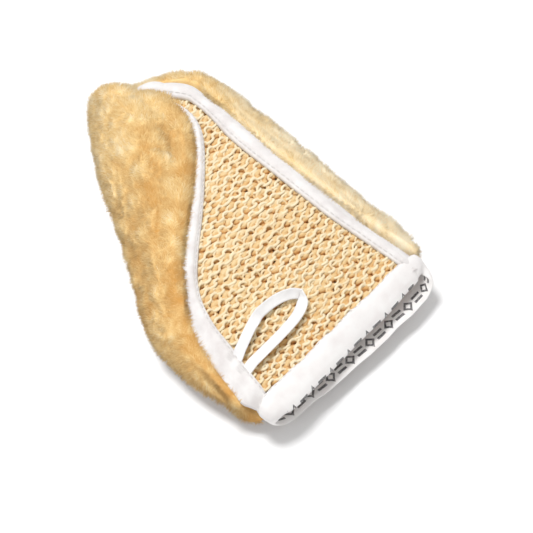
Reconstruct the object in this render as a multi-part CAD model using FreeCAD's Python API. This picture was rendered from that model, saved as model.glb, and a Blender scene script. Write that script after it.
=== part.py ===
"""Wash mitt: a flat pouch with a knitted sisal palm and a lambskin back.

Frame: millimetres, +Z up, the mitt lies on its pile with the sisal palm facing up.
+Y runs from the cuff to the finger tip, +X to the straight side of the palm, and the
origin is under the middle of the whole mitt, on the surface that it lies on.
"""

import FreeCAD, Part
import math
import os

V = FreeCAD.Vector
os.makedirs("parts", exist_ok=True)

# ---- driving dimensions -------------------------------------------------------
CUFF_Y = -126.0          # rim of the hide and of the palm, before the cuff tape
TAPE_END_Y = -104.0      # inner edge of the cuff tape
HIDE = 2.0               # thickness of the tanned skin
PALM = 4.5               # thickness of the knitted sisal
TAPE = 2.2               # folded cuff tape, outside layer with its filling
TAPE_INSIDE = 1.2        # its layer inside the mouth
RIM = 1.6                # how far the folded tape stands beyond the rim
BINDING_RISE = 5.0       # height of the padded edge binding above the palm
SPLIT_Z = 27.0           # level between the floor and the top of the pouch
LOOP_WIDTH = 7.0         # width of the hanging tape
LOOP_THICK = 1.2
LOOP_GAP = 2.0           # how far the loop lies above the knit
STITCH = (3.0, 0.9, 0.7)  # length, width and height of one stitch
STITCH_PITCH = 6.0
TACKS = [(-71.5, -76.5), (-73.5, -87)]  # middles of the two bar tacks of the hanging tape
TACK_REACH = 5.5  # the edge seam has no stitches nearer than this to a tack's middle
SHIFT = V(6.3, -5.7, 0)  # moves the middle of the mitt over the origin

# Cross-sections of the pouch (the outside of the skin): y, left, right, floor,
# height of the top at its left side and at its right side.
POUCH = [
    (-130, -82, 67, 13.0, 33.0, 33.0),
    (-104, -81, 67, 13.5, 35.0, 35.0),
    (-60, -77, 64, 15.5, 39.0, 39.0),
    (-20, -70, 65, 17.0, 41.5, 42.0),
    (20, -47, 68, 18.0, 41.0, 43.0),
    (60, -20, 69, 18.0, 37.5, 42.0),
    (90, 2, 65, 18.5, 35.5, 39.5),
    (110, 18, 56, 19.5, 34.0, 36.0),
    (122, 28, 46, 21.5, 31.0, 32.0),
]

# Cross-sections of the pile: y, left, right, the palm's left and right edge,
# height of the roll on the left, in the middle and on the right.
PILE = [
    (-103.5, -92, 75, -80, 66, 36, 33, 35),
    (-90, -98, 79, -82, 66, 42, 36, 38),
    (-60, -96, 80, -78, 64, 45, 40, 42),
    (-20, -89, 82, -52, 62, 52, 42, 45),
    (20, -66, 85, -2, 63, 57, 43, 47),
    (60, -39, 86, 38, 64, 57, 42, 47),
    (90, -19, 82, 49, 67, 54, 42, 44),
    (112, -2, 71, 36, 55, 50, 47, 42),
    (128, 11, 59, 30, 42, 42, 42, 37),
    (139, 24, 49, 33, 40, 29, 30, 27),
]

# Edges of the palm in plan: outside, middle and inside of the edge binding.
# Each is the left S-curve from the cuff to the tip and the right side back again.
BINDING_OUTSIDE = (
    [(-87, -104), (-81, -77), (-71, -45), (-51, -19), (-16, 9), (15, 32), (36, 55),
     (48, 79), (47, 97), (39, 116)],
    [(39, 116), (51, 108), (62, 95), (68, 80), (64, 50), (62, 0), (62, -40), (70, -104)],
)
SEAM_LINE = (
    [(-80, -104), (-74, -76), (-65, -45), (-48, -22), (-17, 4.5), (14, 29), (33, 48),
     (46, 69), (50, 84), (49, 96)],
    [(49, 96), (57, 88), (61, 77), (58, 52), (56, 0), (55, -35), (61, -104)],
)
BINDING_INSIDE = (
    [(-73, -104), (-66, -73), (-58, -46), (-44, -24), (-18, 0), (14, 26), (31, 42),
     (45, 60), (50, 73), (52, 88)],
    [(52, 88), (56, 75), (52, 50), (49, 0), (48, -40), (55, -104)],
)

# Middle line of the hanging tape: out along one leg, fold, back along the other.
LOOP_UPPER = [(-63.5, -75.5), (-40, -69), (-20, -67.5), (-4, -72)]
LOOP_LOWER = [(-4, -76.5), (-16, -83), (-36, -86), (-64.5, -86)]

# The loop flips over the edge binding about a line along the binding's inner edge.
LOOP_HINGE = V(-65.0, -80.5, 43.2)
LOOP_HINGE_AXIS = V(-0.216, -0.976, 0)


def spline(points, periodic=False):
    """A smooth edge through points."""
    curve = Part.BSplineCurve()
    curve.interpolate(points, PeriodicFlag=periodic)
    return curve.toShape()


def line(a, b):
    return Part.makeLine(a, b)


def between(table, y):
    """A row of a table at y, straight between its neighbours."""
    for low, high in zip(table, table[1:]):
        if y <= high[0] or high is table[-1]:
            t = (y - low[0]) / (high[0] - low[0])
            return [a + t * (b - a) for a, b in zip(low, high)]


def top_z(x, y):
    """Height of the top of the pouch at a place in plan."""
    _, left, right, _, z_left, z_right = between(POUCH, y)
    t = min(1.0, max(0.0, (x - left) / (right - left)))
    return z_left + t * (z_right - z_left)


def pouch_wire(row, side=0.0, floor=0.0, top=0.0):
    """A flat-sided oval, with the sides, floor and top moved outwards."""
    y, left, right, z_floor, z_left, z_right = row
    left, right = left - side, right + side
    z_floor, z_left, z_right = z_floor - floor, z_left + top, z_right + top
    r_left, r_right = (z_left - z_floor) / 2, (z_right - z_floor) / 2
    a, b = V(left + r_left, y, z_floor), V(right - r_right, y, z_floor)
    c, d = V(right - r_right, y, z_right), V(left + r_left, y, z_left)
    right_side = Part.Arc(b, V(right, y, z_floor + r_right), c).toShape()
    left_side = Part.Arc(d, V(left, y, z_floor + r_left), a).toShape()
    return Part.Wire([line(a, b), right_side, line(c, d), left_side])


def pouch(side=0.0, floor=0.0, top=0.0, rows=POUCH):
    wires = [pouch_wire(row, side, floor, top) for row in rows]
    return Part.makeLoft(wires, True, False)


def pile_wire(row):
    """A closed section of the pile: full on the left, lower over the palm."""
    y, left, right, palm_left, palm_right, z_left, z_mid, z_right = row
    width = right - left
    tuck = min(15.0, 0.3 * width)
    points = [
        (left + tuck, -2.0),
        ((left + right) / 2, -3.0),
        (right - tuck, -2.0),
        (right, 0.45 * z_right),
        (right - 0.35 * (right - palm_right), 0.9 * z_right),
        (palm_right, z_mid + 1.0),
        ((palm_left + palm_right) / 2, z_mid),
        (palm_left, z_mid + 2.0),
        ((left + palm_left) / 2, z_left),
        (left + 0.15 * (palm_left - left), 0.8 * z_left),
        (left, 0.4 * z_left),
    ]
    return Part.Wire([spline([V(x, y, z) for x, z in points], True)])


def outline(sides, cuff_y, z0, z1):
    """A prism over a palm outline, closed straight across at the cuff."""
    left, right = ([V(x, y, z0) for x, y in side] for side in sides)
    edges = [spline(left), spline(right)]
    if cuff_y < right[-1].y:
        below_right, below_left = V(right[-1].x, cuff_y, z0), V(left[0].x, cuff_y, z0)
        edges += [line(right[-1], below_right), line(below_right, below_left)]
        edges += [line(below_left, left[0])]
    else:
        edges += [line(right[-1], left[0])]
    return Part.Face(Part.Wire(edges)).extrude(V(0, 0, z1 - z0))


def slab_y(y0, y1):
    """Everything of the mitt between two places along it."""
    return Part.makeBox(300, y1 - y0, 200, V(-150, y0, -50))


def stitch(x, y, z, angle):
    """One stitch: a small bar lying along the seam."""
    length, width, height = STITCH
    bar = Part.makeBox(length, width, height, V(-length / 2, -width / 2, 0))
    bar = bar.makeFillet(0.25, [e for e in bar.Edges if e.BoundBox.ZMin > height / 2])
    bar.rotate(V(0, 0, 0), V(0, 0, 1), angle)
    bar.translate(V(x, y, z))
    return bar


def along(points, pitch, skip=0.0):
    """Places and headings at an even pitch, about as given, along a smooth plan curve."""
    edge = spline([V(x, y, 0) for x, y in points])
    run = edge.Length - 2 * skip
    count = round(run / pitch)
    for i in range(count + 1):
        at = edge.getParameterByLength(skip + i * run / count)
        p, t = edge.valueAt(at), edge.tangentAt(at)
        yield p.x, p.y, math.degrees(math.atan2(t.y, t.x))


def lambskin():
    """The skin, a pouch that is open under the palm, and the pile on its outside."""
    skin_outside = pouch().common(slab_y(CUFF_Y, 130))
    space = pouch(-HIDE, -HIDE, -HIDE, POUCH[:-1] + [(120, 27, 46, 21.5, 31.0, 32.0)])
    hide = skin_outside.cut(space).cut(outline(SEAM_LINE, CUFF_Y - 10, SPLIT_Z, 90))
    pile = Part.makeLoft([pile_wire(row) for row in PILE], True, False)
    pile = pile.cut(pouch()).cut(outline(BINDING_OUTSIDE, CUFF_Y - 10, SPLIT_Z, 90))
    pile = pile.cut(Part.makeBox(400, 400, 50, V(-200, -200, -50)))
    return hide, pile


def sisal_panel():
    """The knitted palm, which follows the top of the pouch."""
    top = pouch().common(outline(SEAM_LINE, CUFF_Y, SPLIT_Z, 90))
    below = pouch()
    below.translate(V(0, 0, -PALM))
    return top.cut(below)


def edge_binding(pile):
    """The padded binding over the palm's edge, from cuff corner to cuff corner."""
    band = outline(BINDING_OUTSIDE, TAPE_END_Y, SPLIT_Z, 90)
    band = band.cut(outline(BINDING_INSIDE, TAPE_END_Y, SPLIT_Z - 1, 91))
    raised = pouch()
    raised.translate(V(0, 0, BINDING_RISE))
    return band.common(raised).cut(pouch()).cut(pile)


def cuff_binding(hide, palm):
    """The tape folded over the rim of the mouth, a ring."""
    ends = [between(POUCH, CUFF_Y - RIM), between(POUCH, TAPE_END_Y)]
    ring = pouch(TAPE, TAPE, TAPE, ends)
    mouth = [between(POUCH, CUFF_Y - RIM - 1), between(POUCH, TAPE_END_Y + 1)]
    inset = HIDE + TAPE_INSIDE
    ring = ring.cut(pouch(-inset, -inset, -PALM - TAPE_INSIDE, mouth))
    return ring.cut(hide).cut(palm)


def hang_loop():
    """A narrow tape sewn down at both ends, lying on the palm."""
    z = top_z(-40, -78) + LOOP_GAP
    half = LOOP_WIDTH / 2

    def leg(points):
        left, right = [], []
        for x, y, angle in along(points, 9.0):
            nx, ny = -math.sin(math.radians(angle)), math.cos(math.radians(angle))
            left.append(V(x + half * nx, y + half * ny, z))
            right.append(V(x - half * nx, y - half * ny, z))
        ends = [line(left[-1], right[-1]), line(right[0], left[0])]
        wire = Part.Wire([spline(left), ends[0], spline(right[::-1]), ends[1]])
        return Part.Face(wire).extrude(V(0, 0, LOOP_THICK))

    fold = Part.makeCylinder(half, LOOP_THICK, V(-4, -74.2, z))
    return leg(LOOP_UPPER).fuse(leg(LOOP_LOWER)).fuse(fold).removeSplitter()


def edge_seam_thread():
    """The seam line of the edge binding, near its inner side."""
    stitches = []
    for side in BINDING_INSIDE:
        for x, y, angle in along(side, STITCH_PITCH, 5.0):
            nx, ny = -math.sin(math.radians(angle)), math.cos(math.radians(angle))
            x, y = x + 2.5 * nx, y + 2.5 * ny
            if all(math.dist((x, y), tack) > TACK_REACH for tack in TACKS):
                stitches.append(stitch(x, y, top_z(x, y) + BINDING_RISE - 0.1, angle))
    return Part.makeCompound(stitches)


def cuff_seam_thread():
    """The seam line round the cuff tape, on the palm and on the back."""
    y = TAPE_END_Y - 3.0
    _, left, right, z_floor, z_top, _ = between(POUCH, y)
    count = int((right - left - 24) / STITCH_PITCH)
    stitches = []
    for i in range(count + 1):
        x = left + 12 + i * STITCH_PITCH
        stitches.append(stitch(x, y, z_top + TAPE - 0.1, 0))
        stitches.append(stitch(x, y, z_floor - TAPE - STITCH[2] + 0.1, 0))
    return Part.makeCompound(stitches)


def loop_tack():
    """Two bar tacks on the edge binding that hold the ends of the hanging tape."""
    bars = []
    for x, y in TACKS:
        for step in range(4):
            x_bar = x + 1.4 * (step - 1.5)
            bars.append(stitch(x_bar, y, top_z(x_bar, y) + BINDING_RISE - 0.1, 80))
    return Part.makeCompound(bars)


def main():
    hide, pile = lambskin()
    palm = sisal_panel()
    parts = {
        "lambskin_hide": hide,
        "lambskin_pile": pile,
        "sisal_panel": palm,
        "edge_binding": edge_binding(pile),
        "cuff_binding": cuff_binding(hide, palm),
        "hang_loop": hang_loop(),
        "edge_seam_thread": edge_seam_thread(),
        "cuff_seam_thread": cuff_seam_thread(),
        "loop_tack": loop_tack(),
    }
    for name, shape in parts.items():
        shape.translate(SHIFT)
        shape.exportStep(f"parts/{name}.step")
        print(name, len(shape.Solids), shape.isValid(), round(shape.Volume / 1000, 1), "cm3")
    print("loop hinge", LOOP_HINGE + SHIFT, LOOP_HINGE_AXIS)


main()
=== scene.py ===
"""Wash mitt: lambskin pouch with a knitted sisal palm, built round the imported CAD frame.

Shapes are worked out in millimetres in the CAD source's work frame (cuff at -Y, tip at
+Y, palm up) and moved into the row frame by SHIFT when a mesh is made.
"""

import math

import bpy
import numpy as np
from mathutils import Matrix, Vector
from mathutils.bvhtree import BVHTree


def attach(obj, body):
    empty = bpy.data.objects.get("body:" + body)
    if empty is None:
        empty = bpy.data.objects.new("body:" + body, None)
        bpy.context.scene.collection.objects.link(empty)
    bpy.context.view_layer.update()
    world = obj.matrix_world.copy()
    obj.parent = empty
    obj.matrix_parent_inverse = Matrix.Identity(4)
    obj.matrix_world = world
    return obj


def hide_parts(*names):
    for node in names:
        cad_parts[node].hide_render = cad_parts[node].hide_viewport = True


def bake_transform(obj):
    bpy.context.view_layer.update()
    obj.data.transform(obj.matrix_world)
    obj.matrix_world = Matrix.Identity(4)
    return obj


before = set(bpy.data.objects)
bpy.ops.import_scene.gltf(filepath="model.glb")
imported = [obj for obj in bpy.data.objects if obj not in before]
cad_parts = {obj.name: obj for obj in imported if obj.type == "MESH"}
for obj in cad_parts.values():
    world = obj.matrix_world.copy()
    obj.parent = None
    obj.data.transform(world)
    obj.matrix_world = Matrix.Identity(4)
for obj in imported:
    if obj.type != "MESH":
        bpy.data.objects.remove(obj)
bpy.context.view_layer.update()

MM = 0.001
SHIFT = np.array([6.3, -5.7, 0.0])    # from the work frame to the row frame, in mm

# ---- the mitt's measures, as in the CAD source ---------------------------------
# The skin pouch: y, left, right, floor, top at the left, top at the right.
POUCH = np.array([
    (-130, -82, 67, 13.0, 33.0, 33.0),
    (-104, -81, 67, 13.5, 35.0, 35.0),
    (-60, -77, 64, 15.5, 39.0, 39.0),
    (-20, -70, 65, 17.0, 41.5, 42.0),
    (20, -47, 68, 18.0, 41.0, 43.0),
    (60, -20, 69, 18.0, 37.5, 42.0),
    (90, 2, 65, 18.5, 35.5, 39.5),
    (110, 18, 56, 19.5, 34.0, 36.0),
    (122, 28, 46, 21.5, 31.0, 32.0),
], float)

# Left strip of the edge binding, cuff to tip: its fur side and its palm side.
LEFT_OUT = [(-80.5, -111), (-86.5, -101), (-83, -78), (-77, -55), (-68, -36), (-53, -17),
            (-36, -1), (-18, 12), (-1, 25), (13, 36), (24, 46), (34, 58), (41, 70), (42.5, 82),
            (42, 93), (42, 101)]
LEFT_IN = [(-74, -113), (-71, -97), (-66, -76), (-61, -54), (-54, -37), (-44, -23.5), (-29, -10),
           (-12, 3.5), (5, 17.5), (20, 31), (31, 41.5), (41, 53), (46.5, 64), (47.8, 74),
           (47.8, 85), (50, 94)]
# Right strip, cuff to tip: its fur side and its palm side.
RIGHT_OUT = [(66, -113), (64, -70), (62.5, -40), (62.5, 0), (64, 40), (68, 68), (69, 85),
             (63.5, 99), (53, 109), (41, 117), (29, 121)]
RIGHT_IN = [(53, -113), (48.8, -70), (46.8, -40), (47, 0), (49, 38), (54, 64),
            (54.5, 76), (50, 87), (43.5, 98), (35, 108), (27, 113)]
# The hanging loop's middle line, out from the binding and back to it.
LOOP_UPPER = [(-72, -81.5), (-60, -77), (-48, -72.5), (-35.5, -69), (-22, -69.8),
              (-13, -73), (-8.5, -77)]
LOOP_LOWER = [(-8.5, -77.6), (-12, -82), (-22, -86.5), (-38.5, -89), (-56.5, -90), (-74, -90.5)]
LOOP_HALF = 3.5               # half the width of the loop's tape
CUFF_Y = -116.0               # the section of the pouch that the cuff follows
CUFF_SEAM_Y = -108.5          # the cuff tape's seam, at the left end of the palm
MOUTH_LEFT, MOUTH_WIDTH, MOUTH_MIDDLE = -73, 142, -7.0
SKIN_CLOSES = 100.0           # from here to the tip the skin has no opening
STEEPEST_SIDE = 0.93          # how far round its side the pouch's top is followed


# ---- numbers -------------------------------------------------------------------
def table_at(y, columns=POUCH):
    """Every column of a table at each y, by a smooth cubic through its rows."""
    y = np.asarray(y, float)
    rows, at = columns[:, 1:], columns[:, 0]
    slope = np.diff(rows, axis=0) / np.diff(at)[:, None]
    tangent = np.vstack([slope[:1], (slope[1:] + slope[:-1]) / 2, slope[-1:]])
    turns = slope[1:] * slope[:-1] <= 0
    tangent[1:-1][turns] = 0
    i = np.clip(np.searchsorted(at, y) - 1, 0, len(at) - 2)
    step = (at[i + 1] - at[i])[..., None]
    t = np.clip((y - at[i]) / (at[i + 1] - at[i]), 0, 1)[..., None]
    a, b = rows[i], rows[i + 1]
    ta, tb = tangent[i] * step, tangent[i + 1] * step
    return (a * (2 * t**3 - 3 * t**2 + 1) + ta * (t**3 - 2 * t**2 + t)
            + b * (3 * t**2 - 2 * t**3) + tb * (t**3 - t**2))


def lengths(points):
    """Length along a row of points, from 0 at the first one."""
    return np.concatenate([[0], np.cumsum(np.linalg.norm(np.diff(points, axis=0), axis=1))])


def grid(along, across):
    """Both values at every point of a surface that is along by across points."""
    return np.stack(np.meshgrid(along, across, indexing="ij"), axis=-1)


def curve(points, count):
    """Even samples along a smooth curve through points."""
    p = np.asarray(points, float)
    knots = lengths(p)
    fine = table_at(np.linspace(0, knots[-1], 40 * len(p)), np.column_stack([knots, p]))
    run = lengths(fine)
    at = np.linspace(0, run[-1], count)
    return np.stack([np.interp(at, run, fine[:, k]) for k in range(p.shape[1])], axis=1)


def matched(points, knots, count):
    """Samples of a curve through points that share knots with a partner curve."""
    return table_at(np.linspace(0, knots[-1], count), np.column_stack([knots, points]))


def hashed(ix, iy, iz, seed):
    """Repeatable values from 0 to 1, one for each whole-number place."""
    h = (ix * 374761393 + iy * 668265263 + iz * 2147483647 + seed * 974711) & 0xFFFFFFFF
    h = ((h ^ (h >> 13)) * 1274126177) & 0xFFFFFFFF
    return ((h ^ (h >> 16)) & 0xFFFFFF) / float(0xFFFFFF)


def noise(p, scale, seed=0):
    """Smooth noise from -1 to 1 at points p, with features about scale across."""
    q = np.asarray(p, float) / scale
    base = np.floor(q).astype(np.int64)
    f = q - base
    f = f * f * (3 - 2 * f)
    out = 0.0
    for dx, dy, dz in np.ndindex(2, 2, 2):
        weight = (np.where(dx, f[..., 0], 1 - f[..., 0])
                  * np.where(dy, f[..., 1], 1 - f[..., 1])
                  * np.where(dz, f[..., 2], 1 - f[..., 2]))
        out = out + weight * hashed(base[..., 0] + dx, base[..., 1] + dy,
                                    base[..., 2] + dz, seed)
    return 2 * out - 1


def noise_vector(p, scale, seed):
    """Three independent noises at each point, as a vector."""
    return np.stack([noise(p, scale, seed + k) for k in range(3)], axis=1)


def smooth_step(x, low, high):
    """From 0 at low to 1 at high, level at both ends."""
    t = np.clip((np.asarray(x, float) - low) / (high - low), 0, 1)
    return t * t * (3 - 2 * t)


def palm_z(x, y):
    """Height of the top of the pouch, with its rounded sides and a few soft dents."""
    x, y = np.asarray(x, float), np.asarray(y, float)
    left, right, floor, z_left, z_right = np.moveaxis(table_at(y), -1, 0)
    z = z_left + (z_right - z_left) * np.clip((x - left) / (right - left), 0, 1)
    for inset, high in ((x - left, z_left), (right - x, z_right)):
        r = (high - floor) / 2
        into = np.clip(r - inset, 0, STEEPEST_SIDE * r)
        z = z - (r - np.sqrt(r * r - into * into))
    place = np.stack([x, y, 0 * x], axis=-1)
    return z + 0.7 * noise(place, 42, 3) + 0.35 * noise(place, 17, 4)


def palm_normal(x, y):
    """Unit normal of the top of the pouch."""
    step = 1.0
    dx = (palm_z(x + step, y) - palm_z(x - step, y)) / (2 * step)
    dy = (palm_z(x, y + step) - palm_z(x, y - step)) / (2 * step)
    return unit(np.stack([-dx, -dy, np.ones_like(dx)], axis=-1))


# ---- meshes --------------------------------------------------------------------
def make(name, points, faces, materials, uv=None, values=None):
    """A smooth mesh object from points in the work frame and lists of faces of any size."""
    mesh = bpy.data.meshes.new(name)
    points = (np.asarray(points, float) + SHIFT) * MM
    faces = [np.asarray(f, np.int32) for f in faces]
    loops = np.concatenate([f.ravel() for f in faces])
    sizes = np.concatenate([np.full(len(f), f.shape[1], np.int32) for f in faces])
    mesh.vertices.add(len(points))
    mesh.vertices.foreach_set("co", points.astype(np.float32).ravel())
    mesh.loops.add(len(loops))
    mesh.loops.foreach_set("vertex_index", loops)
    mesh.polygons.add(len(sizes))
    starts = np.concatenate([[0], np.cumsum(sizes)[:-1]]).astype(np.int32)
    mesh.polygons.foreach_set("loop_start", starts)
    mesh.polygons.foreach_set("loop_total", sizes)
    mesh.update(calc_edges=True)
    mesh.validate()
    mesh.polygons.foreach_set("use_smooth", np.ones(len(mesh.polygons), bool))
    if uv is not None:
        layer = mesh.uv_layers.new(name="Run")
        index = np.zeros(len(mesh.loops), np.int32)
        mesh.loops.foreach_get("vertex_index", index)
        layer.data.foreach_set("uv", np.asarray(uv, np.float32)[index].ravel())
    for key, data in (values or {}).items():
        attribute = mesh.attributes.new(key, "FLOAT", "POINT")
        attribute.data.foreach_set("value", np.asarray(data, np.float32))
    for material in materials:
        mesh.materials.append(material)
    piece = bpy.data.objects.new(name, mesh)
    bpy.context.collection.objects.link(piece)
    return piece


def ring_faces(rings, sides, first=0):
    """Quads between consecutive rings of a tube."""
    i = np.arange(rings - 1)[:, None] * sides + first
    j = np.arange(sides)[None, :]
    k = (j + 1) % sides
    return np.stack([i + j, i + k, i + sides + k, i + sides + j], axis=-1).reshape(-1, 4)


def tube(path, normal, radius, sides):
    """Rings of points round a path, each square to the path and turned to the normal."""
    along = unit(np.gradient(path, axis=0))
    across = unit(np.cross(along, normal))
    up = np.cross(across, along)
    angle = 2 * np.pi * np.arange(sides) / sides
    radius = np.broadcast_to(radius, (len(path), sides))
    return (path[:, None] + radius[..., None]
            * (np.cos(angle)[None, :, None] * across[:, None]
               + np.sin(angle)[None, :, None] * up[:, None]))


def unit(v):
    """Vectors at length 1."""
    return v / np.maximum(np.linalg.norm(v, axis=-1, keepdims=True), 1e-9)


class Batch:
    """Collects tubes with capped ends into one mesh."""

    def __init__(self):
        self.points, self.quads, self.caps, self.uv, self.shades = [], [], [], [], []
        self.count = 0

    def add(self, rings, uv, shade=0.5):
        n, sides = rings.shape[:2]
        self.points.append(rings.reshape(-1, 3))
        self.quads.append(ring_faces(n, sides, self.count))
        ends = np.arange(sides) + self.count
        self.caps.append(ends[::-1])
        self.caps.append(ends + (n - 1) * sides)
        self.uv.append(uv.reshape(-1, 2))
        self.shades.append(np.broadcast_to(shade, (n, sides)).reshape(-1))
        self.count += n * sides

    def build(self, name, slot, material):
        return make(name, np.concatenate(self.points),
                    [np.concatenate(self.quads), np.array(self.caps)], [material],
                    np.concatenate(self.uv), {"shade": np.concatenate(self.shades)})


# ---- materials -----------------------------------------------------------------
class Nodes:
    """A material's node tree, with short calls for the nodes used here."""

    def __init__(self, name, roughness=0.85, sheen=0.0, sheen_tint=(1, 1, 1, 1)):
        self.material = bpy.data.materials.new(name)
        self.material.use_nodes = True
        self.tree = self.material.node_tree
        self.shader = self.tree.nodes["Principled BSDF"]
        self.shader.inputs["Roughness"].default_value = roughness
        self.shader.inputs["Specular IOR Level"].default_value = 0.25
        self.shader.inputs["Sheen Weight"].default_value = sheen
        self.shader.inputs["Sheen Roughness"].default_value = 0.6
        self.shader.inputs["Sheen Tint"].default_value = sheen_tint

    def add(self, kind, **settings):
        """A new node; each setting goes to the socket of that name, or else to the node."""
        node = self.tree.nodes.new("ShaderNode" + kind)
        for key, value in settings.items():
            if key in node.inputs.keys():
                node.inputs[key].default_value = value
            else:
                setattr(node, key, value)
        return node

    def link(self, out, into):
        self.tree.links.new(out, into)

    def attribute(self, name):
        return self.add("Attribute", attribute_name=name).outputs["Fac"]

    def run(self):
        """The mesh's own run coordinates: along and across, in millimetres."""
        return self.add("UVMap", uv_map="Run").outputs["UV"]

    def place(self):
        return self.add("TexCoord").outputs["Object"]

    def math(self, operation, a, b=0.0, c=0.0):
        node = self.add("Math", operation=operation)
        for socket, value in zip(node.inputs, (a, b, c)):
            if hasattr(value, "is_linked"):
                self.link(value, socket)
            else:
                socket.default_value = value
        return node.outputs[0]

    def scaled(self, vector, x, y, z):
        """Coordinates times a scale, so that a texture stretches along the others."""
        node = self.add("Mapping")
        node.inputs["Scale"].default_value = (x, y, z)
        self.link(vector, node.inputs["Vector"])
        return node.outputs[0]

    def noise(self, vector, scale, detail=3.0, roughness=0.55):
        node = self.add("TexNoise", Scale=scale, Detail=detail, Roughness=roughness)
        self.link(vector, node.inputs["Vector"])
        return node.outputs["Fac"]

    def wave(self, vector, scale, distortion=0.0, direction="X"):
        node = self.add("TexWave", Scale=scale, Distortion=distortion,
                        bands_direction=direction)
        self.link(vector, node.inputs["Vector"])
        return node.outputs["Fac"]

    def ramp(self, value, *stops):
        node = self.add("ValToRGB")
        elements = node.color_ramp.elements
        while len(elements) < len(stops):
            elements.new(0.5)
        for element, (place, colour) in zip(elements, stops):
            element.position, element.color = place, (*colour, 1)
        self.link(value, node.inputs[0])
        return node.outputs[0]

    def mix(self, factor, a, b, blend="MIX"):
        node = self.add("Mix", data_type="RGBA", blend_type=blend)
        for socket, value in zip((node.inputs[0], node.inputs[6], node.inputs[7]),
                                 (factor, a, b)):
            if hasattr(value, "is_linked"):
                self.link(value, socket)
            elif isinstance(value, tuple):
                socket.default_value = (*value, 1)
            else:
                socket.default_value = value
        return node.outputs[2]

    def colour(self, value):
        self.link(value, self.shader.inputs["Base Color"])

    def bump(self, height, strength, distance):
        """Fine relief; distance is in metres."""
        node = self.add("Bump", Strength=strength, Distance=distance)
        self.link(height, node.inputs["Height"])
        self.link(node.outputs[0], self.shader.inputs["Normal"])

    def rough(self, value, low, high):
        """Roughness from low to high as a value goes from 0 to 1."""
        node = self.add("MapRange")
        node.inputs["To Min"].default_value = low
        node.inputs["To Max"].default_value = high
        self.link(value, node.inputs["Value"])
        self.link(node.outputs[0], self.shader.inputs["Roughness"])


def srgb(r, g, b):
    """A linear colour from 0 to 255 display values."""
    return tuple(((v / 255 + 0.055) / 1.055) ** 2.4 if v > 10 else v / 255 / 12.92
                 for v in (r, g, b))


def wool_material(name):
    """Wool coloured by its shade value: creases darker as painted shade, tips paler as painted
    light, in soft patches.
    """
    m = Nodes(name, 0.95, 0.08, (1.0, 0.84, 0.56, 1))
    # a faint warm emission: painted light, a glow that warms the wool's shaded parts
    m.shader.inputs["Emission Color"].default_value = (1.0, 0.62, 0.26, 1)
    m.shader.inputs["Emission Strength"].default_value = 0.06
    patches = m.noise(m.place(), 55.0, 2.0)
    fine = m.noise(m.place(), 900.0, 3.0)
    value = m.attribute("shade")
    for grain, weight in ((patches, 0.55), (fine, 0.30)):
        value = m.math("ADD", value, m.math("MULTIPLY", m.math("SUBTRACT", grain, 0.5), weight))
    m.colour(m.ramp(value, (0.0, srgb(204, 150, 80)), (0.45, srgb(236, 202, 140)),
                    (1.0, srgb(254, 240, 208))))
    m.bump(fine, 0.35, 0.0008)
    return m.material


def sisal_material(name):
    """Sisal yarn: coarse strands along the yarn, deep parts browner as painted shade."""
    m = Nodes(name, 0.8, 0.1)
    run = m.run()
    strands = m.noise(m.scaled(run, 0.10, 2.6, 1), 1.0, 4.0, 0.6)
    knots = m.noise(m.scaled(run, 0.35, 0.5, 1), 1.0, 2.0)
    # the shade value holds painted shade: browner and darker where the yarn lies deep
    body = m.ramp(m.attribute("shade"),
                  (0.0, srgb(196, 138, 76)), (0.34, srgb(219, 171, 108)),
                  (0.62, srgb(234, 206, 156)), (1.0, srgb(248, 236, 205)))
    tone = m.ramp(strands, (0.25, srgb(214, 182, 130)), (0.65, (1.0, 1.0, 1.0)))
    m.colour(m.mix(0.5, body, tone, "MULTIPLY"))
    m.bump(m.math("ADD", strands, m.math("MULTIPLY", knots, 0.5)), 0.8, 0.0004)
    m.rough(strands, 0.65, 0.9)
    return m.material


def tape_material(name, white, grey):
    """Plain woven white tape: fine crossing threads and a soft uneven tone."""
    m = Nodes(name, 0.9, 0.25)
    run = m.run()
    warp = m.wave(m.scaled(run, 1.5, 0.0, 1), 1.0, 0.4)
    weft = m.wave(m.scaled(run, 0.0, 1.5, 1), 1.0, 0.4, "Y")
    nap = m.noise(m.place(), 700.0, 4.0)
    soft = m.noise(m.place(), 90.0, 3.0)
    weave = m.math("ADD", m.math("MULTIPLY", m.math("ADD", warp, weft), 0.25),
                   m.math("MULTIPLY", nap, 0.5))
    tone = m.ramp(soft, (0.3, grey), (0.65, white))
    m.colour(m.mix(0.16, tone, m.ramp(weave, (0.25, grey), (0.8, (1, 1, 1))), "MULTIPLY"))
    m.bump(weave, 0.55, 0.00035)
    m.rough(nap, 0.82, 0.96)
    return m, run


def print_row(m, along, across, centre, shift, size):
    """Ink of one row of lozenges and double bars, drawn round a line across the tape."""
    pitch, first, bar_place, bar_half = 18.0, 4.5, 9.0, 3.6
    half, hollow, stroke, gap = 4.2 * size, 2.1 * size, 0.8 * size, 1.7 * size
    start = m.math("ADD", along, 100 * pitch + shift)
    x = m.math("SUBTRACT", m.math("MODULO", start, pitch), first)
    y = m.math("ABSOLUTE", m.math("SUBTRACT", across, centre))
    away = m.math("ADD", m.math("ABSOLUTE", x), m.math("MULTIPLY", y, 1.15))
    lozenge = m.math("MULTIPLY", m.math("LESS_THAN", away, half),
                     m.math("GREATER_THAN", away, hollow))
    bar_x = m.math("LESS_THAN", m.math("ABSOLUTE", m.math("SUBTRACT", x, bar_place)), bar_half)
    bar_y = m.math("LESS_THAN", m.math("ABSOLUTE", m.math("SUBTRACT", y, gap)), stroke)
    return m.math("MAXIMUM", lozenge, m.math("MULTIPLY", bar_x, bar_y))


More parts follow.
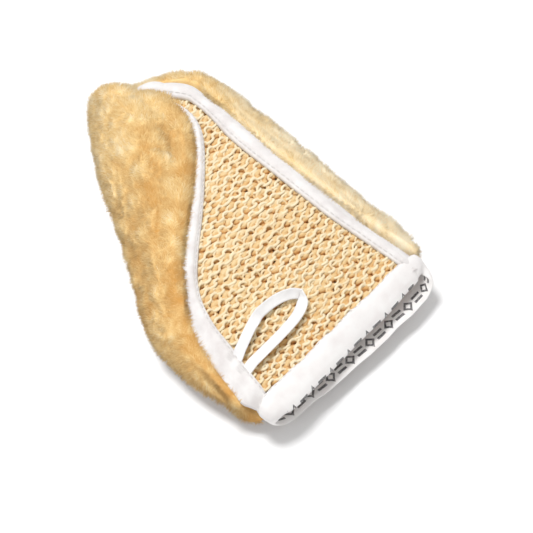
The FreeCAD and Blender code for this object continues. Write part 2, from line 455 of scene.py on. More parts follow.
def printed_tape_material():
    """The cuff tape: its inner face has a generic row of lozenges and bars, and a second
    small row is cut off by the rim on the palm side."""
    m, run = tape_material("cuff_tape_print", srgb(255, 253, 251), srgb(247, 242, 240))
    split = m.add("SeparateXYZ")
    m.link(run, split.inputs[0])
    along, across = split.outputs[0], split.outputs[1]
    where = m.add("SeparateXYZ")
    m.link(m.place(), where.inputs[0])
    palm_side = m.math("GREATER_THAN", where.outputs[2], 0.021)
    from_middle = m.math("ABSOLUTE", m.math("ADD", where.outputs[0], 0.004))
    inward = m.math("LESS_THAN", from_middle, 0.062)
    ink = print_row(m, along, across, 25.8, 0.0, 1.0)
    cut_off = print_row(m, along, across, 21.6, 7.0, 0.55)
    cut_off = m.math("MULTIPLY", cut_off, m.math("MULTIPLY", palm_side, inward))
    ink = m.math("MAXIMUM", ink, cut_off)
    worn = m.ramp(m.noise(m.place(), 1300.0, 2.0), (0.3, (0.55, 0.55, 0.55)), (0.6, (1, 1, 1)))
    ink = m.math("MULTIPLY", ink, worn)
    base = m.shader.inputs["Base Color"].links[0].from_socket
    m.colour(m.mix(ink, base, srgb(62, 60, 62)))
    return m.material


def suede_material():
    """The skin's flesh side: brown suede with a fine grain."""
    m = Nodes("suede", 0.95, 0.3, (1.0, 0.85, 0.7, 1))
    broad = m.noise(m.place(), 60.0, 4.0)
    grain = m.noise(m.place(), 1200.0, 4.0)
    tone = m.ramp(broad, (0.3, srgb(150, 112, 78)), (0.7, srgb(196, 160, 122)))
    m.colour(m.mix(0.4, tone, m.ramp(grain, (0.2, srgb(140, 105, 75)), (0.8, (1, 1, 1))),
                   "MULTIPLY"))
    m.bump(grain, 0.6, 0.0005)
    return m.material


def thread_material():
    """White sewing thread with a slanting ply."""
    m = Nodes("sewing_thread", 0.7, 0.1)
    ply = m.wave(m.scaled(m.run(), 2.2, 1.2, 1), 1.0, 0.2, "DIAGONAL")
    m.colour(m.ramp(ply, (0.1, srgb(214, 208, 206)), (0.8, srgb(250, 248, 245))))
    m.bump(ply, 0.7, 0.0002)
    return m.material


# ---- pieces --------------------------------------------------------------------
WALE, COURSE = 10.1, 6.1      # stitch width and row height of the knit
KNIT_REACH = 4.5              # half the height of one yarn wave
KNIT_FOOT, KNIT_TOP = -109, 94
SHORTEST_ROW = 5
YARN_SIDES, PER_STITCH = 8, 20
STRIP_ROWS, STRIP_COLUMNS = 420, 21
SEAM_GROOVE, SEAM_COLUMN = 0.84, 17    # the stitch line's place across a strip
STITCH_SIDES = 7


def seam_sides(y):
    """Left and right end of the knit at y: the middle of the binding strips."""
    ends = []
    for out, inn in ((LEFT_OUT, LEFT_IN), (RIGHT_OUT, RIGHT_IN)):
        middle = curve((np.array(out, float) + np.array(inn, float)) / 2, 300)
        order = np.argsort(middle[:, 1])
        ends.append(float(np.interp(y, middle[order, 1], middle[order, 0])))
    return ends


def across_mouth(x):
    """Place across the mouth, from 0 at its left seam to 1 at its right."""
    return np.clip((x - MOUTH_LEFT) / MOUTH_WIDTH, 0, 1)


def cuff_seam_y(x):
    """Where the cuff tape meets the knit."""
    return CUFF_SEAM_Y + 7.0 * across_mouth(x)


def knit(name, seed, offset, level, tone, yarn):
    """A layer of the palm: one yarn tube per row of plain knit, seen from its purl side."""
    rng = np.random.default_rng(seed)
    batch = Batch()
    angle = 2 * np.pi * np.arange(YARN_SIDES) / YARN_SIDES
    for row in range(int((KNIT_TOP - KNIT_FOOT) / COURSE)):
        y0 = KNIT_FOOT + row * COURSE + offset[1]
        left, right = seam_sides(y0)
        if right - left < SHORTEST_ROW:
            continue
        t = np.arange(left, right, WALE / PER_STITCH) / WALE * 2 * np.pi + offset[0]
        place = np.stack([t * WALE / 2 / np.pi, np.full_like(t, y0), 0 * t], axis=1)
        place[:, 2] = 40.0 * seed
        wobble = np.stack([noise(place + 50 * k, 5.5, seed + k) for k in range(3)], axis=1)
        # the yarn's wave in plan, each stitch a little uneven
        reach = KNIT_REACH * (1 + 0.24 * noise(place, 7.0, seed + 5) + 0.06 * rng.standard_normal())
        slant = 0.45 + 0.9 * noise(place, 12.0, seed + 6)
        x = WALE * (t - offset[0]) / (2 * np.pi) + 1.45 * np.sin(2 * t) + 1.0 * wobble[:, 0]
        x = x + slant * np.cos(t)
        y = y0 - reach * np.cos(t) + 0.8 * wobble[:, 1]
        y = y + 1.1 * noise(place, 30.0, 8)
        # its height over the palm: up at both ends of a wave, and down under the cuff tape
        under_tape = smooth_step(cuff_seam_y(x) - y, -0.5, 3.5)
        lift = 1.35 * np.cos(2 * t) + 0.45 * wobble[:, 2] + level - 5.0 * under_tape
        normal = palm_normal(x, y)
        base = np.stack([x, y, palm_z(x, y)], axis=1)
        path = base + lift[:, None] * normal
        run = lengths(path)
        ply = 1 + 0.13 * np.cos(2 * (angle[None, :] - 0.62 * run[:, None]))
        thick = yarn * (1 + 0.14 * noise(place * [1, 1, 0] + [0, 0, row], 4.0, 41))
        rings = tube(path, normal, thick[:, None] * ply, YARN_SIDES)
        # painted shade: yarn that lies lower over the palm is darker, scaled by the layer's tone;
        # the random terms are the yarn's own uneven tone
        over = rings[..., 2] - base[:, None, 2]
        shade = smooth_step(over, -5.6, -0.5) * tone + 0.05 * rng.standard_normal()
        shade = shade + 0.10 * noise(rings, 26.0, seed + 9)
        batch.add(rings, grid(run + 100 * row, angle * yarn), shade)
    piece = batch.build(name, "knitted_sisal", sisal_material(name))
    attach(piece, "mitt")
    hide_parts("sisal_panel")


def strip_points(out, inn, crown, seed, end_drop):
    """The top of a padded strip between two plan curves, with its run and places across."""
    out, inn = np.array(out, float), np.array(inn, float)
    knots = lengths((out + inn) / 2)
    o, i = matched(out, knots, STRIP_ROWS), matched(inn, knots, STRIP_ROWS)
    run = np.linspace(0, knots[-1], STRIP_ROWS)
    u = np.linspace(0, 1, STRIP_COLUMNS)
    plan = o[:, None] + (i - o)[:, None] * u[None, :, None]
    z_out = palm_z(o[:, 0], o[:, 1]) - 1.5
    z_in = palm_z(i[:, 0], i[:, 1]) - 0.3
    ease = smooth_step(u, 0, 1)
    base = z_out[:, None] * (1 - ease) + z_in[:, None] * ease
    place = np.concatenate([grid(run, 12 * u), np.full((*base.shape, 1), 9.0 * seed)], axis=-1)
    arch = np.sin(np.pi * u) ** 0.62
    pucker = 0.34 * noise(place * [1, 0.35, 1], 4.2, seed) + 0.22 * noise(place, 2.2, seed + 1)
    pucker = pucker * (0.35 + 0.65 * smooth_step(u, 0.45, 0.9))
    slack = 0.5 * noise(place * [1, 0.25, 1], 17.0, seed + 2)
    height = (crown + slack + pucker) * arch
    height = height - (np.exp(-(((u - SEAM_GROOVE) / 0.055) ** 2)) * 0.75)[None, :]
    # both ends go down, the tip end under the fur and the other under the cuff tape
    drop = end_drop * smooth_step(run, knots[-1] - 26, knots[-1])
    drop = drop + 3.5 * smooth_step(run, 9, 1)
    # a swell where the strip turns towards the tip
    height = height + 1.6 * arch * np.exp(-(((o[:, 1] - 92) / 16) ** 2))[:, None]
    top = np.concatenate([plan, (base + height - drop[:, None])[..., None]], axis=-1)
    return top, run, u


def add_strip(batch, top, run, u):
    """Closes a strip into a thin cloth shell; the skins share the same outline."""
    normal = unit(np.cross(unit(np.gradient(top, axis=0)), unit(np.gradient(top, axis=1))))
    if normal[..., 2].mean() < 0:
        normal = -normal
    under = top - 0.9 * normal
    rings = np.concatenate([top, under[:, ::-1]], axis=1)
    batch.add(rings, grid(run, np.concatenate([u, u[::-1]]) * 19.0))


def edge_binding(tape, thread):
    """The padded tape round the palm's edge and its stitch line."""
    batch, stitches = Batch(), Batch()
    length, tops = 0.0, []
    for out, inn, crown, seed, drop in ((LEFT_OUT, LEFT_IN, 5.0, 60, 4.0),
                                        (RIGHT_OUT, RIGHT_IN, 5.6, 70, 9.0)):
        top, run, u = strip_points(out, inn, crown, seed, drop)
        add_strip(batch, top, run, u)
        length += run[-1]
        sew(stitches, top[:, SEAM_COLUMN], 4.2, 0.42, 0.25)
        tops.append(top.reshape(-1, 3))
    piece = batch.build("edge_binding_tape", "binding_tape", tape)
    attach(piece, "mitt")
    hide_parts("edge_binding")
    seam = stitches.build("edge_seam_stitches", "thread", thread)
    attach(seam, "mitt")
    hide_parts("edge_seam_thread")
    return piece, length, tops[0]


def stitch(batch, path, thick, run):
    """One stitch: a short closed tube with its own thickness at each point."""
    rings = tube(path, np.array([0, 0, 1.0]), thick[:, None], STITCH_SIDES)
    batch.add(rings, grid(run, np.arange(STITCH_SIDES) * 0.4))


def sew(batch, line, pitch, radius, lift):
    """A row of separate stitches that dip into the cloth at both ends."""
    run = lengths(line)
    bow = np.sin(np.linspace(0, np.pi, 7))
    for k in range(1, int(run[-1] / pitch)):
        at = np.linspace(k * pitch, (k + 0.74) * pitch, 7)
        path = np.stack([np.interp(at, run, line[:, j]) for j in range(3)], axis=1)
        path[:, 2] += lift + 0.45 * (bow - 0.75)
        stitch(batch, path, radius * (0.45 + 0.55 * bow ** 0.5), at - at[0] + k)


def cuff_ring(count):
    """The pouch's flat-sided oval at the cuff, round from the palm's right end: x and z,
    the outward direction and the length so far."""
    left, right, floor, z_left, z_right = table_at(np.array([CUFF_Y]))[0]
    r = ((z_left + z_right) / 2 - floor) / 2
    flat, turn = right - left - 2 * r, np.pi * r
    s = np.linspace(0, 1, count, endpoint=False) * (2 * flat + 2 * turn)
    low, mid = left + r, floor + r
    a1, a2 = (s - flat) / r, (s - 2 * flat - turn) / r
    on = [s < flat, s < flat + turn, s < 2 * flat + turn]
    nx = np.select(on, [0.0, -np.sin(a1), 0.0], np.sin(a2))
    nz = np.select(on, [1.0, np.cos(a1), -1.0], -np.cos(a2))
    x = np.select(on, [low + flat - s, low, low + s - flat - turn], low + flat) + r * nx
    return x, mid + r * nz, nx, nz, s


def cuff_skin():
    """The outer skin of the folded tape, by place round the mouth and place across the
    tape: 0 at the outer seam, 1 at the rim, 2 at the inner edge."""
    v = np.concatenate([np.linspace(0, 0.9, 15), np.linspace(0.92, 1.08, 9),
                        np.linspace(1.12, 2, 11)])
    x0, z0, nx, nz, s = cuff_ring(460)
    wide = v[:, None]
    over, within = np.clip(wide, 0, 1), np.clip(wide - 1, 0, 1)
    on_palm = smooth_step(nz, -0.5, 0.7)
    across = across_mouth(x0)
    place = np.stack(np.broadcast_arrays(s, 14 * wide, 0.0), axis=-1)
    corner = smooth_step(np.abs(x0 - MOUTH_MIDDLE), 60, 80)
    # the rim's line, set back on the palm side towards the right
    front = -125.2 + 10.5 * across ** 1.3 + 3.5 * corner
    back = -124.5 - 1.5 * np.sin(np.pi * across) + 5.0 * corner
    rim = front * on_palm + back * (1 - on_palm) + 0.8 * noise(place * [1, 0, 0], 13.0, 91)
    seam = CUFF_SEAM_Y + (cuff_seam_y(x0) - CUFF_SEAM_Y) * on_palm
    y = seam + (rim - seam) * over
    y = y + (-105.0 - rim) * within - 0.9 * np.exp(-(((wide - 1.0) / 0.07) ** 2))
    # how far the tape stands off the skin: puffed outside, against the wall inside
    puff = (0.9 + 1.9 * on_palm) * np.sin(np.pi * over) ** 0.55 + 0.2
    crease = 0.75 * noise(place * [1, 0.3, 1], 5.0, 92) + 0.4 * noise(place, 2.6, 93)
    crease = crease + 0.7 * noise(place * [1, 0.5, 1], 11.0, 96)
    outside = puff + crease * (0.25 + 1.0 * np.exp(-wide / 0.35))
    turned = smooth_step(wide, 0.86, 1.14)
    grow = outside * (1 - turned) - (2.6 + 2.4 * on_palm + 0.25 * crease) * turned
    grow = grow - 1.0 * np.exp(-(((wide - 0.12) / 0.05) ** 2))
    grow = grow - 2.6 * on_palm * np.exp(-((wide / 0.07) ** 2))
    # the palm side droops towards the rim and follows the palm's dents
    droop = 5.5 * on_palm * smooth_step(over, 0.1, 1.0) * (1 - 0.5 * within)
    droop = droop * (0.75 + 0.25 * np.sin(np.pi * across)) * (1 - 0.7 * corner)
    sag = noise(np.stack([x0, 0 * x0, on_palm * 40], axis=-1), 60.0, 95)
    palm_x = np.broadcast_to(np.clip(x0, -70, 55), y.shape)
    level = palm_z(palm_x, np.clip(y, -130, -100)) - 34.3
    z = z0 + nz * grow + sag - droop + 0.8 * level * on_palm
    return np.stack([x0 + nx * grow, y, z], axis=-1).transpose(1, 0, 2), v, s


def cuff(tape, thread):
    """The tape folded over the rim of the mouth, outside and inside."""
    rings, v, s = cuff_skin()
    along = unit(np.roll(rings, -1, axis=0) - np.roll(rings, 1, axis=0))
    normal = unit(np.cross(along, unit(np.gradient(rings, axis=1))))
    centre = np.array([MOUTH_MIDDLE, CUFF_Y, 24.0])
    if ((rings[:, 3] - centre) * normal[:, 3]).sum() < 0:
        normal = -normal
    under = rings - 0.8 * normal
    loop = np.concatenate([rings, under[:, ::-1]], axis=1)
    n, sides = loop.shape[:2]
    j = np.arange(sides)
    k = (j + 1) % sides
    last = (n - 1) * sides
    closing = np.stack([last + j, last + k, k, j], axis=-1)
    width = np.where(v <= 1, 21 * v, 21 + 20 * (v - 1))
    uv = grid(s, np.concatenate([width, width[::-1]]))
    piece = make("cuff_tape", loop.reshape(-1, 3),
                 [np.concatenate([ring_faces(n, sides), closing])],
                 [tape], uv.reshape(-1, 2))
    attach(piece, "mitt")
    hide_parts("cuff_binding")
    stitches = Batch()
    seam_line = rings[:, 2] + 0.15 * normal[:, 2]
    sew(stitches, np.vstack([seam_line, seam_line[:1]]), 4.6, 0.34, 0.0)
    seam = stitches.build("cuff_seam_stitches", "thread", thread)
    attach(seam, "mitt")
    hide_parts("cuff_seam_thread")
    return piece, s[-1]


def hide():
    """The skin: a thin pouch, open on top between the two lines of edge binding."""
    y = np.concatenate([np.linspace(-104, 110, 78), np.linspace(112, 121, 8)])
    left, right, floor, z_left, z_right = np.moveaxis(table_at(y), -1, 0)
    lowered = 2.5 + 7.5 * smooth_step(y, 92, 116)
    count = 120
    skins = []
    for inset in (0.3, 1.5):
        rows = []
        for k in range(len(y)):
            low, high = floor[k] + inset, (z_left[k] + z_right[k]) / 2 - inset - lowered[k]
            r = (high - low) / 2
            x_l, x_r = left[k] + inset + r, right[k] - inset - r
            ends = seam_sides(min(y[k], SKIN_CLOSES))
            start = np.clip(ends[1], x_l, x_r)
            stop = np.clip(ends[0] if y[k] < SKIN_CLOSES else start, x_l, x_r)
            run = np.array([x_r - start, np.pi * r, x_r - x_l, np.pi * r, stop - x_l])
            s = np.linspace(0, run.sum(), count)
            knots = np.concatenate([[0], np.cumsum(run)])
            a1 = np.clip((s - knots[1]) / r, 0, np.pi)
            a2 = np.clip((s - knots[3]) / r, 0, np.pi)
            x = start + np.clip(s, 0, run[0]) + r * np.sin(a1)
            x = x - np.clip(s - knots[2], 0, run[2]) - r * np.sin(a2)
            x = x + np.clip(s - knots[4], 0, run[4])
            z = high - r * (1 - np.cos(a1)) + r * (1 - np.cos(a2))
            rows.append(np.stack([x, np.full(count, y[k]), z], axis=-1))
        skins.append(np.array(rows))
    batch = Batch()
    batch.add(np.concatenate([skins[0], skins[1][:, ::-1]], axis=1),
              grid(y, np.arange(2 * count) * 2.0))
    piece = batch.build("tanned_skin", "tanned_skin", suede_material())
    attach(piece, "mitt")
    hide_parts("lambskin_hide")
    return piece


def hang_loop(tape):
    """A narrow tape, folded at its far end, that lies slightly arched on the palm."""
    line = np.vstack([curve(LOOP_UPPER, 90), curve(LOOP_LOWER, 90)[1:]])
    w = np.linspace(0, 1, len(line))
    rise = 2.9 + 1.5 * np.sin(np.pi * w) + 0.6 * np.sin(3 * np.pi * w)
    root = (1 - smooth_step(w, 0.02, 0.07)) + smooth_step(w, 0.93, 0.98)
    path = np.column_stack([line, palm_z(line[:, 0], line[:, 1]) + rise - 2.0 * root])
    along = unit(np.gradient(path, axis=0))
    flat = unit(np.cross(np.array([0, 0, 1.0]), along))
    # the tape stands on edge at its folded end and has a half twist in the upper leg
    fold = np.exp(-(((w - 0.5) / 0.035) ** 2))
    twist = smooth_step(w, 0.17, 0.27) * (1 - smooth_step(w, 0.44, 0.5))
    angle = 1.15 * fold + 0.80 * twist * (1 - fold) - 0.15 * np.sin(2 * np.pi * w)
    side = (np.cos(angle)[:, None] * flat
            + np.sin(angle)[:, None] * np.cross(along, flat))
    face = unit(np.cross(side, along))
    u = np.linspace(-1, 1, 9)
    top = (path[:, None] + LOOP_HALF * u[None, :, None] * side[:, None]
           + 0.28 * (1 - u**2)[None, :, None] * face[:, None])
    under = top - 0.8 * face[:, None]
    rings = np.concatenate([top, under[:, ::-1]], axis=1)
    low = palm_z(rings[..., 0], rings[..., 1]) + 1.2 - 2.0 * root[:, None]
    rings[..., 2] = np.maximum(rings[..., 2], low)
    batch = Batch()
    batch.add(rings, grid(lengths(path), np.concatenate([u, u[::-1]]) * LOOP_HALF))
    piece = batch.build("hang_loop_tape", "loop_tape", tape)
    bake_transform(piece)
    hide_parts("hang_loop")


def bar_tacks(thread, left_strip):
    """Two short bars of close stitches on the binding, over the loop's ends."""
    tacks = Batch()
    for x, y in ((-71.5, -77.0), (-73.5, -87.5)):
        for step in range(5):
            a = np.array([x + 1.1 * (step - 2), y - 2.6])
            b = np.array([x + 1.1 * (step - 1.6), y + 2.6])
            plan = a + (b - a) * np.linspace(0, 1, 9)[:, None]
            gap = np.linalg.norm(plan[:, None] - left_strip[None, :, :2], axis=-1)
            z = left_strip[gap.argmin(axis=1), 2] + 0.12
            thick = 0.24 * np.sin(np.linspace(0.25, np.pi - 0.25, len(plan))) ** 0.4
            stitch(tacks, np.column_stack([plan, z]), thick, np.linspace(0, 5, len(plan)))
    tack = tacks.build("loop_bar_tacks", "thread", thread)
    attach(tack, "mitt")
    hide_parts("loop_tack")


# ---- wool ----------------------------------------------------------------------
TUFT, LOCK = 9.0, 21.0        # width of one wool tuft, and of a lock of several
FIBRES = 160000
FIBRE_PARTS = 9


def pile_base():
    """The CAD pile and a lobe at the mouth's left corner, as one even mesh whose edges
    are rounded by smoothing."""
    base = bpy.data.objects.new("wool_base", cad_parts["lambskin_pile"].data.copy())
    bpy.context.collection.objects.link(base)
    bpy.ops.mesh.primitive_uv_sphere_add(segments=24, ring_count=16, radius=1)
    lobe = bpy.context.object
    lobe.scale = (0.012, 0.012, 0.012)
    lobe.location = ((-82 + SHIFT[0]) * MM, (-101 + SHIFT[1]) * MM, 0.015)
    bpy.ops.object.select_all(action="DESELECT")
    lobe.select_set(True)
    base.select_set(True)
    bpy.context.view_layer.objects.active = base
    bpy.ops.object.join()
    remesh = base.modifiers.new("even", "REMESH")
    remesh.mode, remesh.voxel_size = "VOXEL", 0.0024
    smooth = base.modifiers.new("soft", "SMOOTH")
    smooth.factor, smooth.iterations = 0.5, 8
    finer = base.modifiers.new("finer", "SUBSURF")
    finer.levels = finer.render_levels = 1
    evaluated = base.evaluated_get(bpy.context.evaluated_depsgraph_get())
    result = bpy.data.meshes.new_from_object(evaluated)
    bpy.data.objects.remove(base)
    return result


def mesh_arrays(mesh):
    """A mesh's points in the work frame, its normals and its quads."""
    points, normals = (np.zeros(len(mesh.vertices) * 3, np.float32) for _ in range(2))
    mesh.vertices.foreach_get("co", points)
    mesh.vertices.foreach_get("normal", normals)
    quads = np.array([tuple(p.vertices) for p in mesh.polygons], np.int32)
    return (points.reshape(-1, 3).astype(float) / MM - SHIFT,
            normals.reshape(-1, 3).astype(float), quads)


def tuft_field(p, cell, seed):
    """How far each point is inside its tuft, from 0 at a crease to 1."""
    q = p / cell
    base = np.floor(q).astype(np.int64)
    best = np.full(len(p), 9.0)
    second = np.full(len(p), 9.0)
    for step in np.ndindex(3, 3, 3):
        c = base + np.array(step) - 1
        jitter = np.stack([hashed(c[:, 0], c[:, 1], c[:, 2], seed + k)
                           for k in range(3)], axis=1)
        d = np.linalg.norm(q - (c + 0.5 + 0.85 * (jitter - 0.5)), axis=1)
        nearer = d < best
        second = np.where(nearer, best, np.minimum(second, d))
        best = np.where(nearer, d, best)
    return smooth_step(second - best, 0.0, 0.8)


def off_the_skin(points, normals):
    """How much of the pile's own unevenness a point takes, from 0 on the skin to 1 on the
    outer face, and how far it faces away from the skin."""
    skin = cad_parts["lambskin_hide"].data
    tree = BVHTree.FromPolygons([v.co for v in skin.vertices],
                                [tuple(p.vertices) for p in skin.polygons])
    row = (points + SHIFT) * MM
    away = np.array([tuple(Vector(v) - tree.find_nearest(Vector(v))[0]) for v in row]) / MM
    depth = np.linalg.norm(away, axis=1)
    faces_out = smooth_step((unit(away) * normals).sum(axis=1), -0.25, 0.35)
    return smooth_step(depth, 0.6, 5.0) * faces_out, faces_out


def beside_binding(points, normals):
    """How far a point of the pile faces the edge binding, and how near it is to it."""
    weight, close = np.zeros(len(points)), np.zeros(len(points))
    for line in (LEFT_OUT, RIGHT_OUT):
        line = curve(line, 160)
        for block in np.array_split(np.arange(len(points)), 12):
            gap = line[None] - points[block, None, :2]
            far = np.linalg.norm(gap, axis=-1)
            nearest = far.argmin(axis=1)
            take = np.arange(len(block))
            towards = unit(gap[take, nearest])
            facing = (towards * normals[block, :2]).sum(axis=1)
            near = 1 - smooth_step(far[take, nearest], 5, 12)
            weight[block] = np.maximum(weight[block], smooth_step(facing, 0.1, 0.6) * near)
            close[block] = np.maximum(close[block], near)
    high = smooth_step(points[:, 2], 24, 32)
    return weight * high, close * high


# y, then how much of its height the pile keeps on the left and on the right.
SETTLED = np.array([(-112, 0.78, 1.0), (-90, 0.80, 1.0), (-60, 0.86, 1.0), (-30, 0.95, 1.0),
                    (0, 1.0, 1.0), (85, 1.0, 1.0), (95, 1.0, 0.93), (105, 0.96, 0.76),
                    (112, 0.92, 0.61), (120, 0.87, 0.47), (128, 0.79, 0.42),
                    (142, 0.62, 0.40)], float)
# y, then how far the foot of the pile's left side is tucked in under it; below 0 the
# whole side is pushed out.
TUCKED = np.array([(-112, 5.0), (-101, 8.0), (-90, 20.0), (-70, 22.0), (-40, 16.0), (-10, 10.0),
                   (20, 6.0), (50, 2.5), (80, -2.0), (142, -3.0)], float)


def eased(points, quads, weight, rounds):
    """Points drawn towards the mean of their neighbours, by weight, a few times."""
    ends = np.concatenate([quads[:, [k, (k + 1) % 4]] for k in range(4)])
    count = np.bincount(ends.ravel(), minlength=len(points))[:, None]
    for _ in range(rounds):
        mean = np.stack([np.bincount(ends[:, 0], points[ends[:, 1], k], len(points))
                         + np.bincount(ends[:, 1], points[ends[:, 0], k], len(points))
                         for k in range(3)], axis=1) / count
        points = points + weight[:, None] * (mean - points)
    return points


def settle(points, moved, wall):
    """The moved pile pressed lower by its own weight, its left foot tucked in under it."""
    x, y = points[:, 0], points[:, 1]
    keep = table_at(np.clip(y, -111, 141), SETTLED)
    right = np.where(y > 40, smooth_step(x, 22, 42), smooth_step(x, -40, 20))
    at_tip = smooth_step(y, 100, 112)
    right = right * (1 - at_tip) + smooth_step(x, 31, 45) * at_tip
    keep = keep[:, 0] * (1 - right) + keep[:, 1] * right
    moved[:, 2] = np.maximum(moved[:, 2] * keep, 0.0)
    foot = np.clip(1 - moved[:, 2] / 20.0, 0, 1) ** 1.3
    tucked = table_at(np.clip(y, -112, 142), TUCKED)[:, 0]
    tucked = tucked * np.where(tucked > 0, foot, 1) * smooth_step(wall - x, -28, 4)
    moved[:, 0] += tucked
    moved[:, 1] -= 0.35 * np.minimum(tucked, 0)
    return moved


def wool():
    """The pile: a lumpy tufted body, and fine fibres that stand out of it."""
    points, normals, quads = mesh_arrays(pile_base())
    x, y, z = points.T
    outside, faces_out = off_the_skin(points, normals)
    beside, near = beside_binding(points, normals)
    wall = table_at(np.clip(y, -130, 122))[:, 0]

    tuft = tuft_field(points + 2.0 * noise_vector(points, 13.0, 1), TUFT, 5)
    lock = tuft_field(points + 4.0 * noise_vector(points, 19.0, 4), LOCK, 77)
    broad = noise(points, 30.0, 51)
    small = 1 - np.abs(noise(points, 4.6, 52))
    flank = smooth_step(y, -40, 10) + 1.4 * smooth_step(-y, 60, 85) * smooth_step(y, -106, -98)
    flank = flank * smooth_step(-normals[:, 0], 0.1, 0.8)
    grow = -5.6 - 3.0 * flank + 1.5 * tuft + 2.0 * lock + 1.0 * broad + 0.7 * small
    grow = grow * outside * (0.35 + 0.65 * smooth_step(z, 0.0, 6.0)) * (1 - 0.6 * near)
    reach = 3.4 - 2.6 * smooth_step(y, 55, 95) - 2.6 * smooth_step(-y, 30, 60) * (x < 0)
    grow = grow * (1 - beside) + reach * beside
    moved = settle(points, points + normals * grow[:, None], wall)
    ease = 0.7 * smooth_step(-y, 20, 50) * smooth_step(wall - x, -12, 0)
    moved = eased(moved, quads, ease, 30)

    # painted shade: the creases between tufts and between locks are made darker
    crease = 0.45 * (1 - tuft) + 0.55 * (1 - lock)
    # painted light: the wool is made paler towards the right side and towards the tip end
    painted_light = 0.55 * smooth_step(x - wall, 70, 110) + 0.26 * smooth_step(y, 50, 110)
    shade = np.clip(0.60 - 0.60 * crease + 0.16 * broad + 0.10 * small + painted_light, 0, 1)
    body = make("wool_pile_body", moved, [quads],
                [wool_material("wool_body")], values={"shade": shade})
    body.visible_diffuse = False
    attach(body, "mitt")
    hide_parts("lambskin_pile")
    body.data.update()
    after = mesh_arrays(body.data)[1]
    fibres(moved, after, quads, np.maximum(faces_out, beside), shade)


def fibre_roots(rng, points, normals, quads, outside, shade):
    """Random places on the pile's outer face, each with its normal and shade."""
    triangles = np.concatenate([quads[:, [0, 1, 2]], quads[:, [0, 2, 3]]])
    corners = points[triangles]
    cross = np.cross(corners[:, 1] - corners[:, 0], corners[:, 2] - corners[:, 0])
    weight = np.linalg.norm(cross, axis=1) * smooth_step(outside[triangles].mean(axis=1), 0.05, 0.4)
    weight = weight * (corners[:, :, 2].mean(axis=1) > 1.0)
    weight = weight * (0.12 + 0.88 * smooth_step(unit(cross)[:, 2], -0.8, -0.1))
    pick = rng.choice(len(triangles), FIBRES, p=weight / weight.sum())
    a, b = rng.random((2, FIBRES))
    flip = a + b > 1
    a, b = np.where(flip, 1 - a, a), np.where(flip, 1 - b, b)
    w = np.stack([1 - a - b, a, b], axis=1)
    take = triangles[pick]
    return ((points[take] * w[..., None]).sum(axis=1),
            unit((normals[take] * w[..., None]).sum(axis=1)),
            (shade[take] * w).sum(axis=1))


def fibres(points, normals, quads, outside, shade):
    """Fine curved spikes, closed at root and tip, combed in drifts."""
    rng = np.random.default_rng(3)
    root, normal, tone = fibre_roots(rng, points, normals, quads, outside, shade)
    drift, swirl = noise_vector(root, 12.0, 60), noise_vector(root, 4.0, 70)
    aim = unit(normal + 0.75 * drift + 0.55 * swirl + 0.16 * rng.standard_normal(root.shape))
    aim = unit(aim + 0.35 * np.clip(-(aim * normal).sum(axis=1), 0, 1)[:, None] * normal)
    curl = unit(np.cross(aim, rng.standard_normal(root.shape)))
    length = 3.0 + 1.9 * rng.random(FIBRES)
    thick = 0.12 + 0.07 * rng.random(FIBRES)
    side = unit(np.cross(aim, curl))
    # a ring of three below the skin, one half way up, and the point
    rings = []
    for step, width in ((-0.15, 1.0), (0.5, 0.8)):
        centre = root + aim * (length * step)[:, None]
        centre = centre + curl * (length * 0.3 * step**2)[:, None]
        for k in range(3):
            turn = 2 * np.pi * k / 3
            rings.append(centre + (thick * width)[:, None]
                         * (np.cos(turn) * curl + np.sin(turn) * side))
    rings.append(root + aim * length[:, None] + curl * (length * 0.3)[:, None])
    verts = np.stack(rings, axis=1)
    verts[..., 2] = np.maximum(verts[..., 2], 0.05)
    # painted shade at each fibre's root and painted light at its tip; the random part below is the
    # wool's own uneven tone
    tones = np.stack([tone - 0.20] * 3 + [tone + 0.02] * 3 + [tone + 0.18], axis=1)
    tones = np.clip(tones + 0.13 * rng.standard_normal((FIBRES, 1)), 0, 1)
    own = unit(verts - verts[:, :3].mean(axis=1, keepdims=True))
    soft = unit(0.65 * normal[:, None] + 0.5 * own)
    walls = np.array([(0, 1, 4, 3), (1, 2, 5, 4), (2, 0, 3, 5)])
    ends = np.array([(3, 4, 6), (4, 5, 6), (5, 3, 6), (0, 2, 1)])
    material = wool_material("wool_fibre")
    for part, block in enumerate(np.array_split(np.arange(FIBRES), FIBRE_PARTS)):
        first = np.arange(len(block))[:, None, None] * len(rings)
        faces = [(first + walls).reshape(-1, 4), (first + ends).reshape(-1, 3)]
        piece = make(f"wool_fibres_{part + 1}", verts[block].reshape(-1, 3), faces,
                     [material], values={"shade": tones[block].ravel()})
        piece.data.normals_split_custom_set_from_vertices(soft[block].reshape(-1, 3))
        piece.visible_shadow = False
        piece.visible_diffuse = False
        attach(piece, "mitt")
        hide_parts("lambskin_pile")


# ---- stage ---------------------------------------------------------------------
def camera():
    """A long lens from the cuff's left side, high up."""
    azimuth, elevation = math.radians(-47), math.radians(54)
    target = Vector((0.0204, -0.0329, 0.0))
    distance, across = 3.0, 0.3358
    away = Vector((math.sin(azimuth) * math.cos(elevation),
                   -math.cos(azimuth) * math.cos(elevation), math.sin(elevation)))
    data = bpy.data.cameras.new("camera")
    data.sensor_width = 36.0
    data.lens = 36.0 * distance / across
    data.clip_end = 20.0
    view = bpy.data.objects.new("camera", data)
    bpy.context.collection.objects.link(view)
    view.location = target + distance * away
    view.rotation_euler = (-away).to_track_quat("-Z", "Y").to_euler()
    bpy.context.scene.camera = view


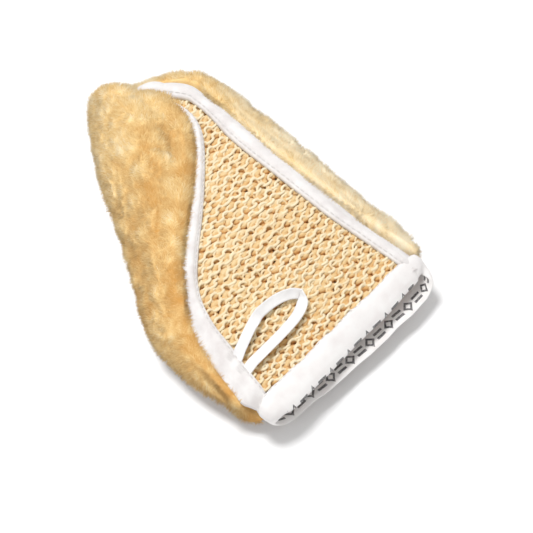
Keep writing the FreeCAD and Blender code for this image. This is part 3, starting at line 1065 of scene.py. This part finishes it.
def light(name, direction, distance, size, energy):
    """A round area lamp that shines on the origin from one direction."""
    data = bpy.data.lights.new(name, "AREA")
    data.shape, data.size, data.energy = "DISK", size, energy
    lamp = bpy.data.objects.new(name, data)
    bpy.context.collection.objects.link(lamp)
    direction = Vector(direction).normalized()
    lamp.location = direction * distance
    lamp.rotation_euler = (-direction).to_track_quat("-Z", "Y").to_euler()


def stage():
    """A plain pale floor, white surroundings and one soft key light from above."""
    mesh = bpy.data.meshes.new("floor")
    size = 6.0
    mesh.from_pydata([(-size, -size, 0), (size, -size, 0), (size, size, 0), (-size, size, 0)],
                     [], [(0, 1, 2, 3)])
    floor = bpy.data.objects.new("floor", mesh)
    bpy.context.collection.objects.link(floor)
    paint = Nodes("floor_white", 0.9)
    paint.colour(paint.ramp(paint.noise(paint.place(), 3.0), (0.0, (0.93, 0.93, 0.93)),
                            (1.0, (0.95, 0.95, 0.95))))
    mesh.materials.append(paint.material)
    world = bpy.data.worlds.new("world")
    world.use_nodes = True
    surround = world.node_tree.nodes["Background"]
    surround.inputs["Color"].default_value = (1, 1, 1, 1)
    surround.inputs["Strength"].default_value = 0.60
    bpy.context.scene.world = world
    light("key", direction=(-0.20, 0.24, 1.6), distance=1.6, size=0.50, energy=18.5)
    bpy.context.scene.view_settings.view_transform = "Standard"


# ---- the scene -----------------------------------------------------------------
camera()
stage()
white = tape_material("binding_cloth", srgb(247, 244, 242), srgb(229, 223, 221))[0].material
ribbon = tape_material("loop_cloth", srgb(255, 254, 253), srgb(236, 234, 234))[0].material
sewing = thread_material()
skin = hide()
# the lower layers get a lower tone: painted shade, darker the deeper they lie
knit("sisal_knit", seed=11, offset=(0.0, 0.0), level=-2.0, tone=1.0, yarn=0.93)
knit("sisal_knit_crossing", seed=37, offset=(np.pi, 3.0), level=-2.8, tone=0.92, yarn=0.85)
knit("sisal_knit_underside", seed=23, offset=(1.6, 1.5), level=-4.5, tone=0.64, yarn=2.3)
binding, binding_length, left_strip = edge_binding(white, sewing)
cuff_piece, cuff_length = cuff(printed_tape_material(), sewing)
hang_loop(ribbon)
bar_tacks(sewing, left_strip)
wool()
